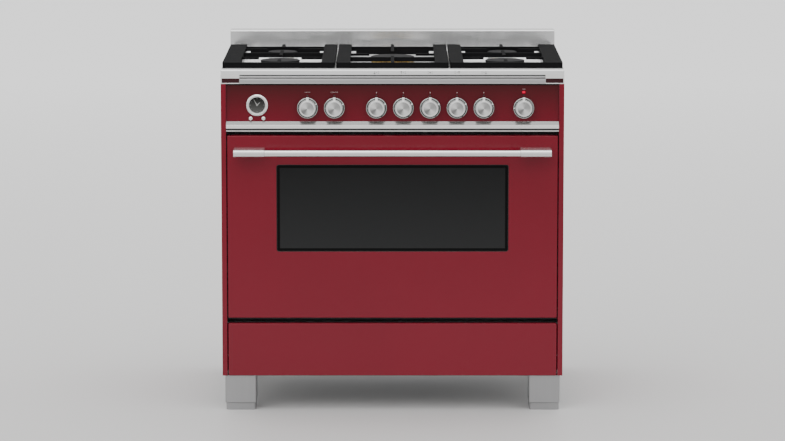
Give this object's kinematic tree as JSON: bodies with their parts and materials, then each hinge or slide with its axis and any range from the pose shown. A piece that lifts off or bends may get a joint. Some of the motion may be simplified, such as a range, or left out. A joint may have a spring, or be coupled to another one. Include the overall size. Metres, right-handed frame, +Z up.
{
  "type": "freestanding gas range",
  "caption": "Freestanding range with gas burners under cast-iron grates, an oven door with window and bar handle, a storage drawer, knobs, a clock and square legs.",
  "frame": {"origin": "on the floor, below the centre of the overall box, which reaches from the handle to the back", "axes": "+Z up, -Y out of the front, +X to the right of a person facing the front"},
  "size_m": [0.91, 0.7, 0.968],
  "materials": {
    "red_enamel": "gloss enamel, deep cherry red",
    "brushed_steel": "fine brushed stainless",
    "control_metal": "satin plated with a spun face",
    "leg_steel": "satin grey",
    "cast_iron": "matt black enamel on cast iron",
    "black_enamel": "satin black enamel",
    "oven_enamel": "dark grey vitreous enamel",
    "dark_glass": "tinted tempered glass",
    "galvanised_sheet": "zinc-coated sheet",
    "aluminium": "cast, bead blasted",
    "brass": "machined",
    "rack_wire": "bright plated wire",
    "seal": "woven heat seal",
    "hand_white": "white paint"
  },
  "bodies": {
    "cabinet": {"side_panel_left": "red_enamel", "side_panel_right": "red_enamel", "back_panel": "galvanised_sheet", "base_frame": "galvanised_sheet", "front_leg_left": "leg_steel", "front_leg_right": "leg_steel", "rear_leg_left": "leg_steel", "rear_leg_right": "leg_steel", "cooktop": "brushed_steel", "backguard": "brushed_steel", "control_panel": "red_enamel", "panel_trim": "brushed_steel", "hinge_arm_left": "galvanised_sheet", "hinge_arm_right": "galvanised_sheet", "oven_cavity": "oven_enamel", "door_gasket": "seal", "fan_cover": "oven_enamel", "oven_rack": "rack_wire", "gas_manifold": "aluminium", "clock_case": "control_metal", "burner_head_left_front": "aluminium", "burner_head_left_rear": "aluminium", "burner_head_centre": "brass", "burner_head_right_rear": "aluminium", "burner_head_right_front": "aluminium", "burner_cap_left_front": "black_enamel", "burner_cap_left_rear": "black_enamel", "burner_cap_centre": "black_enamel", "burner_cap_right_rear": "black_enamel", "burner_cap_right_front": "black_enamel"},
    "oven_door": {"door_outer_panel": "red_enamel", "door_window_glass": "dark_glass", "door_inner_panel": "oven_enamel", "door_inner_glass": "dark_glass", "handle_bar": "brushed_steel", "handle_post_left": "brushed_steel", "handle_post_right": "brushed_steel"},
    "storage_drawer": {"drawer_front": "red_enamel", "drawer_box": "galvanised_sheet"},
    "burner_valve_left_front": {"valve_stem_left_front": "brass"},
    "burner_knob_left_front": {"burner_knob_left_front": "control_metal"},
    "burner_valve_left_rear": {"valve_stem_left_rear": "brass"},
    "burner_knob_left_rear": {"burner_knob_left_rear": "control_metal"},
    "burner_valve_centre": {"valve_stem_centre": "brass"},
    "burner_knob_centre": {"burner_knob_centre": "control_metal"},
    "burner_valve_right_rear": {"valve_stem_right_rear": "brass"},
    "burner_knob_right_rear": {"burner_knob_right_rear": "control_metal"},
    "burner_valve_right_front": {"valve_stem_right_front": "brass"},
    "burner_knob_right_front": {"burner_knob_right_front": "control_metal"},
    "oven_function_knob": {"oven_function_knob": "control_metal"},
    "oven_temperature_knob": {"oven_temperature_knob": "control_metal"},
    "timer_knob": {"timer_knob": "control_metal"},
    "clock_minute_hand": {"clock_minute_hand": "hand_white"},
    "clock_hour_hand": {"clock_hour_hand": "hand_white"},
    "clock_button_left": {"clock_button_left": "control_metal"},
    "clock_button_right": {"clock_button_right": "control_metal"},
    "convection_fan": {"convection_fan": "aluminium"},
    "grate_left": {"grate_left": "cast_iron"},
    "grate_centre": {"grate_centre": "cast_iron"},
    "grate_right": {"grate_right": "cast_iron"}
  },
  "joints": [
    {"name": "door_hinge", "type": "hinge", "parent": "cabinet", "child": "oven_door", "pos_m": [0, -0.268, 0.266], "axis": [1, 0, 0], "range_deg": [0, 90], "stiffness_Nm_per_rad": 15, "springref_deg": -14.32},
    {"name": "drawer_slide", "type": "slide", "parent": "cabinet", "child": "storage_drawer", "axis": [0, -1, 0], "range_m": [0, 0.38]},
    {"name": "burner_turn_left_front", "type": "hinge", "parent": "cabinet", "child": "burner_valve_left_front", "pos_m": [-0.04252, -0.289, 0.8153], "axis": [0, -1, 0], "range_deg": [0, 240]},
    {"name": "burner_push_left_front", "type": "slide", "parent": "burner_valve_left_front", "child": "burner_knob_left_front", "axis": [0, 1, 0], "range_m": [0, 0.004], "stiffness_N_per_m": 400},
    {"name": "burner_turn_left_rear", "type": "hinge", "parent": "cabinet", "child": "burner_valve_left_rear", "pos_m": [0.02859, -0.289, 0.8153], "axis": [0, -1, 0], "range_deg": [0, 240]},
    {"name": "burner_push_left_rear", "type": "slide", "parent": "burner_valve_left_rear", "child": "burner_knob_left_rear", "axis": [0, 1, 0], "range_m": [0, 0.004], "stiffness_N_per_m": 400},
    {"name": "burner_turn_centre", "type": "hinge", "parent": "cabinet", "child": "burner_valve_centre", "pos_m": [0.09969, -0.289, 0.8153], "axis": [0, -1, 0], "range_deg": [0, 240]},
    {"name": "burner_push_centre", "type": "slide", "parent": "burner_valve_centre", "child": "burner_knob_centre", "axis": [0, 1, 0], "range_m": [0, 0.004], "stiffness_N_per_m": 400},
    {"name": "burner_turn_right_rear", "type": "hinge", "parent": "cabinet", "child": "burner_valve_right_rear", "pos_m": [0.17079, -0.289, 0.8153], "axis": [0, -1, 0], "range_deg": [0, 240]},
    {"name": "burner_push_right_rear", "type": "slide", "parent": "burner_valve_right_rear", "child": "burner_knob_right_rear", "axis": [0, 1, 0], "range_m": [0, 0.004], "stiffness_N_per_m": 400},
    {"name": "burner_turn_right_front", "type": "hinge", "parent": "cabinet", "child": "burner_valve_right_front", "pos_m": [0.2419, -0.289, 0.8153], "axis": [0, -1, 0], "range_deg": [0, 240]},
    {"name": "burner_push_right_front", "type": "slide", "parent": "burner_valve_right_front", "child": "burner_knob_right_front", "axis": [0, 1, 0], "range_m": [0, 0.004], "stiffness_N_per_m": 400},
    {"name": "oven_function_turn", "type": "hinge", "parent": "cabinet", "child": "oven_function_knob", "pos_m": [-0.22532, -0.289, 0.8153], "axis": [0, -1, 0], "continuous": true},
    {"name": "oven_temperature_turn", "type": "hinge", "parent": "cabinet", "child": "oven_temperature_knob", "pos_m": [-0.15422, -0.289, 0.8153], "axis": [0, -1, 0], "range_deg": [-270, 0]},
    {"name": "timer_turn", "type": "hinge", "parent": "cabinet", "child": "timer_knob", "pos_m": [0.3477, -0.289, 0.8153], "axis": [0, -1, 0], "range_deg": [-300, 0]},
    {"name": "clock_minute_turn", "type": "hinge", "parent": "cabinet", "child": "clock_minute_hand", "pos_m": [-0.359, -0.283, 0.822], "axis": [0, 1, 0], "continuous": true},
    {"name": "clock_hour_turn", "type": "hinge", "parent": "cabinet", "child": "clock_hour_hand", "pos_m": [-0.359, -0.283, 0.822], "axis": [0, 1, 0], "continuous": true},
    {"name": "clock_button_left_push", "type": "slide", "parent": "cabinet", "child": "clock_button_left", "axis": [0, 1, 0], "range_m": [0, 0.002], "stiffness_N_per_m": 300},
    {"name": "clock_button_right_push", "type": "slide", "parent": "cabinet", "child": "clock_button_right", "axis": [0, 1, 0], "range_m": [0, 0.002], "stiffness_N_per_m": 300},
    {"name": "convection_fan_turn", "type": "hinge", "parent": "cabinet", "child": "convection_fan", "pos_m": [0, 0.2085, 0.4875], "axis": [0, -1, 0], "continuous": true},
    {"name": "grate_left_lift", "type": "slide", "parent": "cabinet", "child": "grate_left", "axis": [0, 0, 1], "range_m": [0, 0.15]},
    {"name": "grate_centre_lift", "type": "slide", "parent": "cabinet", "child": "grate_centre", "axis": [0, 0, 1], "range_m": [0, 0.15]},
    {"name": "grate_right_lift", "type": "slide", "parent": "cabinet", "child": "grate_right", "axis": [0, 0, 1], "range_m": [0, 0.15]}
  ],
  "couplings": [
    {"joint": "clock_hour_turn", "follows": "clock_minute_turn", "ratio": 0.083333}
  ]
}
